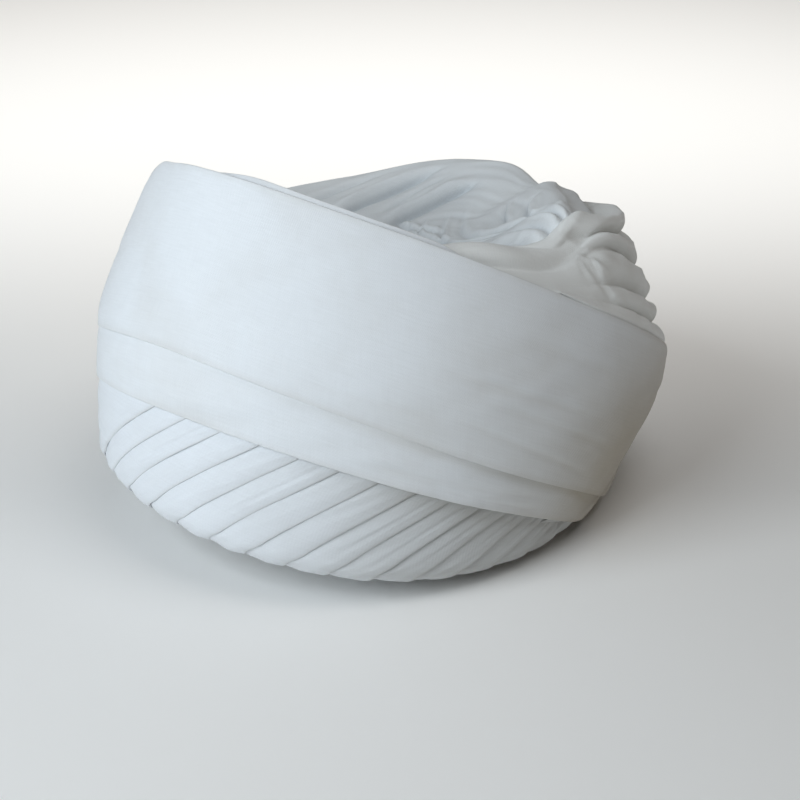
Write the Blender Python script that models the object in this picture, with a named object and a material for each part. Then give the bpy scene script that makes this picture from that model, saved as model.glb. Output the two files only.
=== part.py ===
"""Wound cloth turban, in metres, +Z up, the wearer's front toward -Y.

The origin is the centre of the head opening at brow level. Every layer is laid on one
barrel shaped wall, given by an angle round the head and a height, so that two layers
differ only in how deep they lie and where their edges run.
"""
import bpy
import bmesh
import numpy as np

# Main dimensions, metres
HALF_WIDTH = 0.130         # widest half width of the outer layer, across the ears
HALF_LENGTH = 0.149        # half length, brow to nape
TURN = 0.0166              # radius with which the wall rounds under the lower edge
CLOTH = 0.0013             # thickness of a doubled layer of cloth
STEP = 0.0021              # each layer under the outer one lies this much deeper
PLEAT_CLOTH = 0.0012       # thickness of one pleat
PLEAT_DROP = 0.0018        # a pleat sinks this much per pitch to pass under its neighbour
PLEAT_WIDTH = 1.35         # width of a pleat in pitches, of which one pitch shows
PLEATS = 15                # pleats after the smooth first layer
CORE_DEPTH = 0.0085        # outside of the wound body, below the outermost layer
HEAD_HALF_WIDTH = 0.080    # head opening
HEAD_HALF_LENGTH = 0.098
HEAD_STRAIGHT = 0.020      # height at which the head hollow starts to close
HEAD_RISE = 0.093          # from there to its ceiling
DISH_FLOOR = 0.1215        # lowest level of the dished crown
CROWN_CLOTH = 0.0024       # thickness of the crumpled crown cloth
GAP = 0.0006               # air between the crown cloth and the body under it
COLUMNS = 60               # columns round a full turn

DEG = np.pi / 180
FIRST_START = -94 * DEG    # where the smooth first layer starts, at the right ear


def soft(x, width):
    """Zero below, x above, with a rounded corner of the given width."""
    return width * np.logaddexp(0, x / width)


def at_least(x, low, width=0.004):
    """x, but never below low, with a rounded corner."""
    return low + soft(x - low, width)


def blend(x):
    """Smooth step from 0 to 1."""
    x = np.clip(x, 0, 1)
    return x * x * (3 - 2 * x)


# The wall on which every layer lies

def rim(phi):
    """Height of the lower edge: raised over the brow, lowest behind the ears."""
    twist = np.where(phi < -np.pi / 2, 0.2, 1.0) * 0.006 * np.sin(2 * phi)
    return 0.0075 + 0.010 * np.cos(phi) + 0.0066 * np.cos(2 * phi) - twist


def girth(phi, z):
    """Share of the full half width and length: the front leans in above the brow,
    the back draws in toward the nape."""
    upper = 3.5 * soft(z - 0.1016, 0.008)
    belly = 0.94 * (soft(0.0877 - z, 0.006) - soft(0.0577 - z, 0.006))
    front = 0.9805 - upper + belly
    nape = 4.02 * soft(0.0606 - z, 0.006)
    back = 1.0047 - 0.177 * (np.clip(z - 0.066, 0, None) / 0.090) ** 2 - nape
    weight = blend(0.5 + 0.5 * np.cos(phi))
    return weight * front + (1 - weight) * back


def ring(phi, share, out, z):
    """Point at angle phi, on the oval scaled by share and moved out, at height z."""
    x = (HALF_WIDTH * share + out) * np.sin(phi)
    y = -(HALF_LENGTH * share + out) * np.cos(phi)
    return np.stack([x, y, z + 0 * x], -1)


def wall(phi, height, out):
    """Point of the wall. Height runs down the wall, then round the lower edge."""
    phi, height = np.broadcast_arrays(phi, height)
    knee = rim(phi) + TURN
    arc = np.clip((knee - height) / TURN, 0, np.pi / 2)
    under = np.clip(knee - height - TURN * np.pi / 2, 0, None)
    z = np.where(height > knee, height, knee - TURN * np.sin(arc)) - out * np.sin(arc)
    inset = TURN * (1 - np.cos(arc)) + under
    return ring(phi, girth(phi, np.maximum(height, knee)), out * np.cos(arc) - inset, z)


# Where the edges of the layers run

def broad_top(phi):
    sway = 0.0020 * np.sin(2 * phi) - 0.0037 * np.sin(3 * phi + 13 * DEG)
    return 0.1155 + 0.0685 * np.cos(phi - 6.5 * DEG) + sway


def broad_low(phi):
    return at_least(0.0325 + 0.0795 * np.cos(phi - 3 * DEG), 0.010)


def second_low(phi):
    return at_least(0.0150 + 0.0705 * np.cos(phi - 3 * DEG), -0.004)


def crown_rim(phi):
    """Height of the rounded rim of the dished crown."""
    turn = np.mod(phi, 2 * np.pi)
    hump = 0.0045 * np.exp(-((turn - 196 * DEG) / (34 * DEG)) ** 2)
    dent = 0.0040 * np.exp(-((turn - 168 * DEG) / (8 * DEG)) ** 2)
    dip = 0.0105 * np.exp(-((turn - 91 * DEG) / (14 * DEG)) ** 2)
    return 0.1415 + 0.0145 * np.cos(phi - 92 * DEG) + hump - dent - dip


def drawn_in(phi):
    """The crown draws in behind the left ear, where its cloth is gathered."""
    return 0.078 * np.exp(4.0 * (np.cos(phi - 143 * DEG) - 1))


def crown_share(phi):
    """How far out the rim of the crown lies, as a share of the full oval."""
    wide = 0.05 * np.exp(2.7 * (np.cos(phi + 60 * DEG) - 1))
    share = 0.715 + 0.02 * np.cos(phi - 60 * DEG) + wide - drawn_in(phi)
    limit = girth(phi, crown_rim(phi)) - 0.100
    return limit - soft(limit - share, 0.010)


def fold_span(phi):
    """Lower and upper limit of the stack of rolled folds behind the broad wrap."""
    top = crown_rim(phi) - 0.0075
    return np.minimum(broad_top(phi), top - 0.008), top


def fold_line(phi, z):
    """How far out the rolled folds of the back bulge, as a share of the full oval:
    just inside the broad wrap at its edge, and curving in to the crown above."""
    low, top = fold_span(phi)
    edge = crown_share(phi) + 0.065 + 0.9 * drawn_in(phi)
    outer = girth(phi, np.maximum(low, 0.066)) - 0.017
    sunk = np.clip((top - z) / (top - low), 0, 1)
    line = edge + (outer - edge) * sunk ** 0.75
    limit = girth(phi, z) - 0.017
    return limit - soft(limit - line, 0.006)


# Making closed bodies

def add_body(name, verts, faces, colour):
    """One closed mesh object with outward faces, smooth shading and its own material."""
    mesh = bpy.data.meshes.new(name)
    mesh.from_pydata([tuple(map(float, v)) for v in verts], [], faces)
    work = bmesh.new()
    work.from_mesh(mesh)
    bmesh.ops.remove_doubles(work, verts=work.verts, dist=1e-6)
    bmesh.ops.recalc_face_normals(work, faces=work.faces)
    if work.calc_volume(signed=True) < 0:
        bmesh.ops.reverse_faces(work, faces=work.faces)
    work.to_mesh(mesh)
    work.free()
    mesh.shade_smooth()
    material = bpy.data.materials.new("cloth_" + name)
    material.use_nodes = True
    shader = material.node_tree.nodes["Principled BSDF"]
    shader.inputs["Base Color"].default_value = (*colour, 1.0)
    shader.inputs["Roughness"].default_value = 0.85
    mesh.materials.append(material)
    body = bpy.data.objects.new(name, mesh)
    bpy.context.scene.collection.objects.link(body)
    return body


def tube(name, loops, colour, whole_turn):
    """Closed body from loops: loops[k] is the closed cross-section in column k."""
    count, size = loops.shape[:2]
    verts = loops.reshape(-1, 3)
    faces = []
    for k in range(count if whole_turn else count - 1):
        a, b = k * size, (k + 1) % count * size
        for i in range(size):
            j = (i + 1) % size
            faces.append((a + i, a + j, b + j, b + i))
    if not whole_turn:
        half = size // 2
        for start in (0, (count - 1) * size):
            for i in range(half - 1):
                j, k = size - 1 - i, size - 2 - i
                faces.append((start + i, start + i + 1, start + k, start + j))
    return add_body(name, verts, faces, colour)


def two_skins(outer, inner):
    """Cross-sections of a sheet: up the outer skin, back down the inner one."""
    return np.concatenate([outer, inner[:, ::-1]], axis=1)


def full_turn():
    return (np.arange(COLUMNS) * 2 * np.pi / COLUMNS - np.pi)[:, None]


def band(name, low, top, depth, rows, phi, colour, whole_turn):
    """A layer of cloth between two edges, lying at a depth under the outermost one."""
    share = np.linspace(0, 1, rows)[None, :] ** 1.3
    height = low + (top - low) * share
    outer = wall(phi, height, -depth)
    inner = wall(phi, height, -depth - CLOTH)
    return tube(name, two_skins(outer, inner), colour, whole_turn)


# The layers

def broad_wrap():
    phi = full_turn()
    band("broad_wrap", broad_low(phi), broad_top(phi), 0.0, 7, phi, (0.80, 0.83, 0.88), True)


def second_wrap():
    phi = full_turn()
    low = second_low(phi)
    band("second_wrap", low, broad_low(phi) + 0.018, STEP, 6, phi, (0.79, 0.82, 0.87), True)


def under_wrap():
    """The layer whose edge shows just above the near upper edge of the broad wrap."""
    phi = np.arange(-66, 61, 6)[:, None] * DEG
    top = broad_top(phi) - 0.003 + 0.0075 * np.exp(-((phi - 45 * DEG) / (24 * DEG)) ** 2)
    band("under_wrap", broad_top(phi) - 0.034, top, STEP, 4, phi, (0.78, 0.81, 0.86), False)


def pleat_foot(index):
    return (-18 + 8.2 * index) * DEG


def pleat_top(index):
    return (10 + 8.6 * index - 0.18 * index * index) * DEG


def slanting_layer(name, foot, tip, behind):
    """A layer from under the rim to the second wrap. Each column leans from its foot angle
    to its tip angle, and lies deeper the more pitches it is behind the free edge."""
    knee = rim(foot) + TURN
    top = second_low(tip) + 0.014
    share = np.array([0, 0.29, 0.53, 0.76, 1])[None, :]
    lower = rim(foot) - 0.0180 + (TURN + 0.0180) * share
    upper = knee + (top - knee) * np.array([0.33, 0.66, 1])[None, :]
    height = np.concatenate([lower, upper], axis=1)
    start = rim(foot) + 0.008
    reach = (height - start) / (second_low(tip) - start)
    lean = np.where(reach > 0, np.abs(reach) ** 1.3, 0.3 * reach)
    phi = foot + (tip - foot) * lean
    depth = 2 * STEP + PLEAT_DROP * behind
    outer = wall(phi, height, -depth)
    inner = wall(phi, height, -depth - PLEAT_CLOTH)
    tube(name, two_skins(outer, inner), (0.77, 0.80, 0.86), False)


def pleat(number, index):
    """One pleat: free along its lower edge, the other side passes under its neighbour."""
    behind = PLEAT_WIDTH * np.linspace(1, 0, 3)[:, None]
    line = index - behind
    slanting_layer("pleat_%02d" % number, pleat_foot(line), pleat_top(line), behind)


def first_layer():
    """The smooth layer of the right side, whose free edge is the first slanting line."""
    share = np.linspace(0, 1, 14)[:, None]
    foot = FIRST_START + (pleat_foot(-1) - FIRST_START) * share
    tip = FIRST_START + (pleat_top(-1) - FIRST_START) * share
    slanting_layer("first_layer", foot, tip, 0.4 * (1 - share) ** 4)


# Rolled folds of the back: where each starts and ends round the head, in degrees, and
# its lower and upper crease as shares of the span from the broad wrap to the crown,
# on the left side and at the back
FOLDS = (
    # start, end, low_left, low_back, top_left, top_back
    (66, 288, 0.00, 0.00, 0.22, 0.17),
    (66, 288, 0.22, 0.17, 0.45, 0.34),
    (66, 288, 0.45, 0.34, 0.95, 0.57),
    (96, 288, 0.95, 0.57, 1.00, 0.84),
    (108, 288, 1.00, 0.84, 1.00, 1.00),
)

# Cross-section of a fold: share of its height, depth in metres behind its bulge
FOLD_SECTION = (
    # share, depth
    (0.00, 0.0042),
    (0.15, 0.0010),
    (0.45, 0.0000),
    (0.80, 0.0008),
    (1.00, 0.0044),
    (1.00, 0.0094),
    (0.50, 0.0112),
    (0.00, 0.0110),
)


def crease(phi, left, back):
    """Height of a crease between two folds."""
    low, top = fold_span(phi)
    share = left + (back - left) * blend((phi - 85 * DEG) / (50 * DEG))
    return low + (top - low) * share


def back_fold(number, row):
    start, end, low_left, low_back, top_left, top_back = row
    phi = np.arange(start, end + 1, 6)[:, None] * DEG
    section = np.array(FOLD_SECTION)
    hidden = 0.006 if number == 1 else 0.0
    low = crease(phi, low_left, low_back) + 0.00025 - hidden
    top = np.maximum(crease(phi, top_left, top_back) - 0.00025, low + 0.0006)
    z = low + (top - low) * section[None, :, 0]
    fullness = np.clip((top - low) / 0.009, 0.25, 1) * (0.2 + 0.8 * blend((phi - 82 * DEG) / 0.6))
    inner = section[None, :, 1] > 0.009
    depth = section[None, :, 1] * np.where(inner, 1, fullness)
    level = np.where(inner, z, 0.5 * z + 0.25 * (low + top))
    loops = ring(phi, fold_line(phi, level), -depth, z)
    tube("back_fold_%d" % number, loops, (0.74, 0.77, 0.79), False)


# Crown: outside of its rounded rim, metres from the rim line, for both faces
RIM_ROWS = (
    # out, up, out_under, up_under
    (0.0085, -0.0066, 0.0061, -0.0066),
    (0.0078, -0.0030, 0.0056, -0.0046),
    (0.0040, -0.0005, 0.0030, -0.0030),
    (-0.0040, -0.0005, -0.0034, -0.0030),
)

# Dish inside the rim: share of the rim's distance, share of its depth still above the floor
DISH_ROWS = (
    # share, above
    (0.80, 0.74),
    (0.58, 0.36),
    (0.34, 0.10),
    (0.00, 0.00),
)


def gather(phi, share):
    """Gathers of the crown cloth, deepest half way down the dish."""
    fans = np.sin(7 * phi + 2.0 * np.sin(phi)) + 0.6 * np.sin(11 * phi + 1.0)
    return 0.0011 * fans * np.sin(np.pi * np.clip(share, 0, 1)) ** 0.8


def crown_skin(phi, under, extra):
    """The crown's rows from the outer edge over the rim to the centre of the dish."""
    rows = []
    for out, up, out_under, up_under in RIM_ROWS:
        away, lift = (out_under, up_under) if under else (out, up)
        rows.append(ring(phi, crown_share(phi), away, crown_rim(phi) + lift - extra))
    for share, above in DISH_ROWS:
        z = DISH_FLOOR + (crown_rim(phi) - DISH_FLOOR) * above + gather(phi, share)
        z = z - (CROWN_CLOTH if under else 0) - extra
        rows.append(ring(phi, crown_share(phi) * share, 0, z))
    return np.concatenate(rows, axis=1)


def crown_cloth():
    phi = full_turn()
    loops = two_skins(crown_skin(phi, False, 0), crown_skin(phi, True, 0))
    tube("crown_cloth", loops, (0.70, 0.75, 0.80), True)


def body_share(phi, z):
    """Outside of the wound body: under the wraps, and further in behind the folds."""
    folded = blend((np.cos(phi - 177 * DEG) + 0.46) / 0.10)
    behind = folded * blend((z - fold_span(phi)[0] + 0.019) / 0.008)
    wraps = girth(phi, z) - CORE_DEPTH / HALF_WIDTH
    folds = fold_line(phi, z) - 0.0128 / HALF_WIDTH
    return wraps + (np.minimum(folds, wraps) - wraps) * behind


def inner_wraps():
    """The wound body of cloth between the head and the outer layers."""
    phi = full_turn()
    knee = rim(phi) + TURN
    turns = knee - TURN * np.array([np.pi / 2, 1.05, 0.5, 0.0])[None, :]
    outside = [wall(phi, turns, -CORE_DEPTH)]
    top = crown_rim(phi) - 0.0092
    under = fold_span(phi)[0] - 0.020
    middle = (knee + under) / 2
    behind = under + 0.010
    for z in (middle, under, behind, behind + (top - behind) / 2, top):
        outside.append(ring(phi, body_share(phi, z), 0, z))
    inside_folds = body_share(phi, top) - 0.0024 / HALF_WIDTH
    lip = np.minimum(crown_share(phi) + 0.0045 / HALF_WIDTH, inside_folds)
    outside.append(ring(phi, lip, 0, top + 0.0012))
    crown = crown_skin(phi, True, GAP)
    outside.append(crown[:, 2:])
    foot = rim(phi) + CORE_DEPTH
    inside = []
    for angle in np.array([0, 30, 55, 75, 90]) * DEG:
        rise = HEAD_STRAIGHT + HEAD_RISE * np.sin(angle) ** 0.87
        size = np.cos(angle) ** 0.87
        x = HEAD_HALF_WIDTH * size * np.sin(phi)
        y = -HEAD_HALF_LENGTH * size * np.cos(phi)
        inside.append(np.stack([x, y, rise + 0 * x], -1))
    x = (HEAD_HALF_WIDTH + 0.0005) * np.sin(phi)
    y = -(HEAD_HALF_LENGTH + 0.0005) * np.cos(phi)
    inside.insert(0, np.stack([x, y, foot], -1))
    outer = np.concatenate(outside, axis=1)
    inner = np.concatenate(inside, axis=1)
    tube("inner_wraps", np.concatenate([outer, inner[:, ::-1]], axis=1), (0.75, 0.78, 0.82), True)


def main():
    for old in list(bpy.data.objects):
        bpy.data.objects.remove(old, do_unlink=True)
    inner_wraps()
    crown_cloth()
    for number, row in enumerate(FOLDS, 1):
        back_fold(number, row)
    first_layer()
    for index in range(PLEATS):
        pleat(index + 1, index)
    second_wrap()
    under_wrap()
    broad_wrap()
    triangles = 0
    for body in bpy.data.objects:
        triangles += sum(len(face.vertices) - 2 for face in body.data.polygons)
    print("bodies", len(bpy.data.objects), "triangles", triangles)


main()
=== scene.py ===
# %% [markdown]
# # A wound cotton turban
# The real thing is one long strip of thin white cotton, folded lengthwise and wound round
# the head, so what we see are a few broad layers, a fan of pleats over the brow and soft
# rolls behind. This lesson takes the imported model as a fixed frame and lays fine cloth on
# the same surfaces. The origin is the middle of the head opening and the brow faces -Y.

import bmesh
import bpy
import numpy as np
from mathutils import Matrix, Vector


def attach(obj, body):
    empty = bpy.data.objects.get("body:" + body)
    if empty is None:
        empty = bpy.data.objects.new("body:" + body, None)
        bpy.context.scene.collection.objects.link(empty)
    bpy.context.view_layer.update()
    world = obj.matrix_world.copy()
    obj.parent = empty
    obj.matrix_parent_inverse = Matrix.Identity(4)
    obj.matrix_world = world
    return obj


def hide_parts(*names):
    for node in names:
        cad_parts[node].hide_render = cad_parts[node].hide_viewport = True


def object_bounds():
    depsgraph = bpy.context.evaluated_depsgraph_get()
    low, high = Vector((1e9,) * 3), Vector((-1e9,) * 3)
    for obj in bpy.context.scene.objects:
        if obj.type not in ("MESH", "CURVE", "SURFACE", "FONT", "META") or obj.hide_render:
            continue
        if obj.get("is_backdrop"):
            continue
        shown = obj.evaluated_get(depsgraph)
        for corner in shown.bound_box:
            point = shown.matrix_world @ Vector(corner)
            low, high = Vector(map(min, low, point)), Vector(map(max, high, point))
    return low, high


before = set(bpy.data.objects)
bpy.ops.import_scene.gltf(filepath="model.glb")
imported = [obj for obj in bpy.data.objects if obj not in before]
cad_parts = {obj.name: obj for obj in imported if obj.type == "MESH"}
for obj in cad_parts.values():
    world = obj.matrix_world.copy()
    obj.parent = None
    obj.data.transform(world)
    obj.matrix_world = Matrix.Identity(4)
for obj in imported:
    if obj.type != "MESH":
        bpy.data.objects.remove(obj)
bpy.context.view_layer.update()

# %% [markdown]
# ## Camera
# A photograph has one viewpoint, and every comparison needs it. It could be found by trial,
# but the long oval of the lower edge fixes it well: half way between brow and left ear, a
# little above, about 85 cm away. The shift only repeats how the picture was framed.

# %% Camera at the photograph's angle
DEG = np.pi / 180
AZIMUTH, ELEVATION, DISTANCE = 45 * DEG, 22 * DEG, 0.85
TARGET = np.array([0.0, 0.0, 0.075])
FOCAL_PIXELS, FRAME_PIXELS, SENSOR = 1740, 800, 36.0
SHIFT = (0.020, -0.076)


def direction(azimuth, elevation):
    """Unit vector from the object toward a viewer: azimuth from the brow toward the left ear."""
    level = np.cos(elevation)
    return np.array([np.sin(azimuth) * level, -np.cos(azimuth) * level, np.sin(elevation)])


def aim(thing, place, target):
    """Put a camera or lamp at a place, with its -Z axis toward the target and X level."""
    look = Vector(list(np.array(target) - np.array(place)))
    thing.location = list(place)
    thing.rotation_euler = look.to_track_quat("-Z", "Y").to_euler()


lens = bpy.data.cameras.new("camera")
lens.sensor_width = SENSOR
lens.lens = FOCAL_PIXELS / FRAME_PIXELS * SENSOR
lens.shift_x, lens.shift_y = SHIFT
camera = bpy.data.objects.new("camera", lens)
bpy.context.scene.collection.objects.link(camera)
aim(camera, TARGET + DISTANCE * direction(AZIMUTH, ELEVATION), TARGET)
bpy.context.scene.camera = camera
print("camera at", [round(float(x), 3) for x in camera.location], "lens mm", lens.lens)

# %% [markdown]
# ## Studio light and floor
# The picture has one large cool window on the left and little light from the right, where
# the cloth turns a warm grey. A sun lamp would give hard lines under each layer, so the
# light comes from big soft lamps. One more lamp lights only the pale floor far behind.

# %% Lamps, surroundings and floor
LAMPS = (
    # name, azimuth, elevation, distance, size, watts, colour
    ("window", 0, 30, 1.25, 0.8, 10.6, (0.86, 0.94, 1.00)),
    ("front", -30, 14, 1.9, 1.2, 1.0, (0.92, 0.97, 1.00)),
    ("overhead", 90, 68, 1.5, 0.9, 4.9, (0.98, 0.99, 1.00)),
    ("room", 130, 6, 2.0, 1.2, 0.5, (1.00, 0.74, 0.50)),
)
BACKDROP = ((-0.5, 0.5, 1.2), (-1.9, 1.9, 0.0), 1.6, 22.0)      # place, target, size, watts


def lamp(name, place, target, size, watts, colour):
    """A square area lamp at a place, aimed at a target."""
    light = bpy.data.lights.new(name, "AREA")
    light.size, light.energy, light.color = size, watts, colour
    holder = bpy.data.objects.new(name, light)
    bpy.context.scene.collection.objects.link(holder)
    aim(holder, place, target)


for name, azimuth, elevation, distance, size, watts, colour in LAMPS:
    place = TARGET + distance * direction(azimuth * DEG, elevation * DEG)
    lamp(name, place, TARGET, size, watts, colour)
lamp("backdrop", *BACKDROP, (1.0, 0.99, 0.97))

world = bpy.data.worlds.new("surroundings")
world.use_nodes = True
air = world.node_tree.nodes["Background"]
air.inputs["Color"].default_value = (1.0, 0.90, 0.78, 1)
air.inputs["Strength"].default_value = 0.08
bpy.context.scene.world = world
bpy.context.scene.view_settings.view_transform = "Standard"
print("lamps:", [row[0] for row in LAMPS])

# %% [markdown]
# ## Writing shader maths
# Blender builds a material from boxes and wires, which is slow to read as a list of links.
# One small class that holds a socket and answers to plus, minus and times lets each pattern
# be written as the formula that it is.

# %% A socket that can be calculated with


class Wire:
    """A node's output socket in a material, with arithmetic that adds Math nodes."""

    def __init__(self, tree, socket):
        self.tree, self.socket = tree, socket

    def node(self, kind, settings, inputs, output=0):
        """Any node: its type, its settings first, then values or wires by socket name."""
        made = self.tree.nodes.new(kind)
        for key, value in settings.items():
            setattr(made, key, value)
        for key, value in inputs.items():
            if isinstance(value, Wire):
                self.tree.links.new(value.socket, made.inputs[key])
            else:
                made.inputs[key].default_value = value
        return Wire(self.tree, made.outputs[output])

    def math(self, operation, first, second=0.0):
        """A Math node on wires or numbers."""
        return self.node("ShaderNodeMath", {"operation": operation}, {0: first, 1: second})

    def out(self, number):
        """Another output of the same node."""
        return Wire(self.tree, self.socket.node.outputs[number])

    def __add__(self, other):
        return self.math("ADD", self, other)

    def __sub__(self, other):
        return self.math("SUBTRACT", self, other)

    def __mul__(self, other):
        return self.math("MULTIPLY", self, other)

    def __rsub__(self, other):
        return self.math("SUBTRACT", other, self)

    __radd__, __rmul__ = __add__, __mul__

    def sine(self):
        return self.math("SINE", self)

    def clamp(self):
        return self.node("ShaderNodeClamp", {}, {0: self})


print("wires answer to + - * and to sine and clamp")

# %% [markdown]
# ## The cotton
# Turban voile is a fine, plain weave with a dry, slightly furry surface. Up close we see
# thread crossings and thicker slubs, further off only a soft grey-white that is a little
# duller along its folded edges, where it rubs. Painted shade darkens it too: in creases, in
# the middle of the hollow, under the edges of layers and on the side away from the window.
# The weave follows each piece's own UV map, which is measured in metres of cloth, and the
# rubbed edges and the painted shade come from an attribute called wear_and_shade that each
# piece works out from its own shape.

# %% Cotton material
THREAD = 0.00062           # pitch of the weave, metres


def cotton(name, colour, shade_and_wear_colour, relief=1.0):
    """Voile: weave = sin(u) times sin(v) at the thread pitch, plus slubs as stretched noise."""
    material = bpy.data.materials.new(name)
    material.use_nodes = True
    tree = material.node_tree
    shader = tree.nodes["Principled BSDF"]
    start = Wire(tree, None)
    cloth = start.node("ShaderNodeUVMap", {"uv_map": "cloth"}, {})
    place = start.node("ShaderNodeTexCoord", {}, {}, "Object")
    wear_and_shade = start.node("ShaderNodeAttribute", {"attribute_name": "wear_and_shade"}, {}, "Fac")
    parts = start.node("ShaderNodeSeparateXYZ", {}, {0: cloth})
    weave = (parts * (np.pi / THREAD)).sine() * (parts.out(1) * (np.pi / THREAD)).sine()

    def slubs(scale):
        stretched = start.node("ShaderNodeVectorMath", {"operation": "MULTIPLY"},
                               {0: cloth, 1: scale})
        return start.node("ShaderNodeTexNoise", {}, {"Vector": stretched, "Scale": 1.0,
                                                     "Detail": 3.0, "Roughness": 0.6})

    along = slubs((70.0, 1300.0, 1.0))
    upright = slubs((1300.0, 90.0, 1.0))
    clouds = start.node("ShaderNodeTexNoise", {}, {"Vector": place, "Scale": 16.0,
                                                   "Detail": 4.0, "Roughness": 0.55})
    fluff = start.node("ShaderNodeTexNoise", {}, {"Vector": place, "Scale": 420.0,
                                                  "Detail": 2.0, "Roughness": 0.5})
    # wear_and_shade mixes the base colour toward the second, darker colour: rubbed edges, and
    # painted shade in creases, in the hollow, under edges and on the side away from the window.
    wear_and_shade_mix = (wear_and_shade + (clouds - 0.5) * 0.55).clamp()
    base = start.node("ShaderNodeMix", {"data_type": "RGBA"},
                      {0: wear_and_shade_mix, 6: (*colour, 1), 7: (*shade_and_wear_colour, 1)}, 2)
    streak = ((along - 0.5) * 0.10 + (upright - 0.5) * 0.07 + weave * 0.012 + 1.0)
    grey = start.node("ShaderNodeCombineXYZ", {}, {0: streak, 1: streak, 2: streak})
    tinted = start.node("ShaderNodeVectorMath", {"operation": "MULTIPLY"}, {0: base, 1: grey})
    tree.links.new(tinted.socket, shader.inputs["Base Color"])
    rough = (0.84 + (clouds - 0.5) * 0.12 + weave * 0.03).clamp()
    tree.links.new(rough.socket, shader.inputs["Roughness"])
    height = weave * 0.35 + along * 0.9 + upright * 0.7 + fluff * 0.5
    bump = start.node("ShaderNodeBump", {}, {"Strength": 0.30 * relief, "Distance": 0.00022,
                                             "Height": height})
    tree.links.new(bump.socket, shader.inputs["Normal"])
    shader.inputs["Sheen Weight"].default_value = 0.22
    shader.inputs["Sheen Roughness"].default_value = 0.5
    shader.inputs["Specular IOR Level"].default_value = 0.25
    return material


# The second colour of each cotton is where wear_and_shade leads, mostly painted shade; the
# wraps' warm brown is the painted shade of the side away from the window.
COTTONS = {
    "wrap_cloth": cotton("cotton_wraps", (0.80, 0.835, 0.87), (0.47, 0.43, 0.36)),
    "pleat_cloth": cotton("cotton_pleats", (0.80, 0.84, 0.885), (0.49, 0.49, 0.475)),
    "fold_cloth": cotton("cotton_folds", (0.86, 0.88, 0.875), (0.66, 0.67, 0.65), 1.3),
    "crown_cloth": cotton("cotton_crown", (0.82, 0.855, 0.875), (0.58, 0.62, 0.65), 1.3),
    "inner_cloth": cotton("cotton_inner", (0.76, 0.79, 0.81), (0.58, 0.60, 0.60), 1.3),
}
print("materials:", sorted(COTTONS))

# %% [markdown]
# ## One wall for every layer
# A wound turban is built on itself: each layer takes the shape of the layers below. So all
# layers share one barrel shaped wall, and differ only in depth and in where their edges
# run. The angle goes round the head, 0 at the brow and 90 degrees at the left ear. The
# height runs down the wall and then round under the lower edge. The numbers repeat the
# model's, so each cloth lies where its solid is.

# %% The wall
HALF_WIDTH, HALF_LENGTH = 0.130, 0.149
TURN = 0.0166
CLOTH = 0.0010
STEP = 0.0021


def soft(x, width):
    """Zero below, x above, with a rounded corner of the given width."""
    return width * np.logaddexp(0, x / width)


def at_least(x, low, width=0.004):
    """x, but never below low, with a rounded corner."""
    return low + soft(x - low, width)


def blend(x):
    """Smooth step from 0 to 1: three x squared minus two x cubed."""
    x = np.clip(x, 0, 1)
    return x * x * (3 - 2 * x)


def hill(x, width):
    """A bell of height 1: e to the minus (x over width) squared."""
    return np.exp(-(x / width) ** 2)


def rim(phi):
    """Height of the lower edge: raised over the brow, lowest behind the ears. Two cosines
    of the angle and of twice the angle, less a small twist."""
    twist = np.where(phi < -np.pi / 2, 0.2, 1.0) * 0.006 * np.sin(2 * phi)
    return 0.0075 + 0.010 * np.cos(phi) + 0.0066 * np.cos(2 * phi) - twist


def girth(phi, z):
    """Share of the full half width and length at a height. The front tapers in a line above
    the belly and is straight below it, the back is a parabola that tapers to the nape, and
    the cosine of the angle blends the two."""
    upper = 3.5 * soft(z - 0.1016, 0.008)
    belly = 0.94 * (soft(0.0877 - z, 0.006) - soft(0.0577 - z, 0.006))
    front = 0.9805 - upper + belly
    nape = 4.02 * soft(0.0606 - z, 0.006)
    back = 1.0047 - 0.177 * (np.clip(z - 0.066, 0, None) / 0.090) ** 2 - nape
    weight = blend(0.5 + 0.5 * np.cos(phi))
    return weight * front + (1 - weight) * back


def ring(phi, share, out, z):
    """Point at angle phi, on the oval scaled by share and moved out, at height z."""
    x = (HALF_WIDTH * share + out) * np.sin(phi)
    y = -(HALF_LENGTH * share + out) * np.cos(phi)
    return np.stack([x, y, z + 0 * x], -1)


def wall(phi, height, out):
    """Point of the wall, moved out from it. Below the knee the wall turns under."""
    phi, height = np.broadcast_arrays(phi, height)
    knee = rim(phi) + TURN
    arc = np.clip((knee - height) / TURN, 0, np.pi / 2)
    under = np.clip(knee - height - TURN * np.pi / 2, 0, None)
    z = np.where(height > knee, height, knee - TURN * np.sin(arc)) - out * np.sin(arc)
    inset = TURN * (1 - np.cos(arc)) + under
    return ring(phi, girth(phi, np.maximum(height, knee)), out * np.cos(arc) - inset, z)


def broad_top(phi):
    """Upper edge of the broad wrap: highest over the brow, lowest at the nape."""
    sway = 0.0020 * np.sin(2 * phi) - 0.0037 * np.sin(3 * phi + 13 * DEG)
    tip = 0.0022 * hill(phi + 31 * DEG, 7 * DEG)
    return 0.1155 + 0.0685 * np.cos(phi - 6.5 * DEG) + sway + tip


def broad_low(phi):
    """Lower edge of the broad wrap: a tilted ring, held level where it would dip too low."""
    return at_least(0.0325 + 0.0795 * np.cos(phi - 3 * DEG), 0.010)


def second_low(phi):
    """Lower edge of the second wrap, about 25 mm under the first at the near side."""
    return at_least(0.0150 + 0.0705 * np.cos(phi - 3 * DEG), -0.004)


print("wall at the brow, mid height:", wall(np.array(0.0), np.array(0.09), 0.0).round(4))

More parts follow.
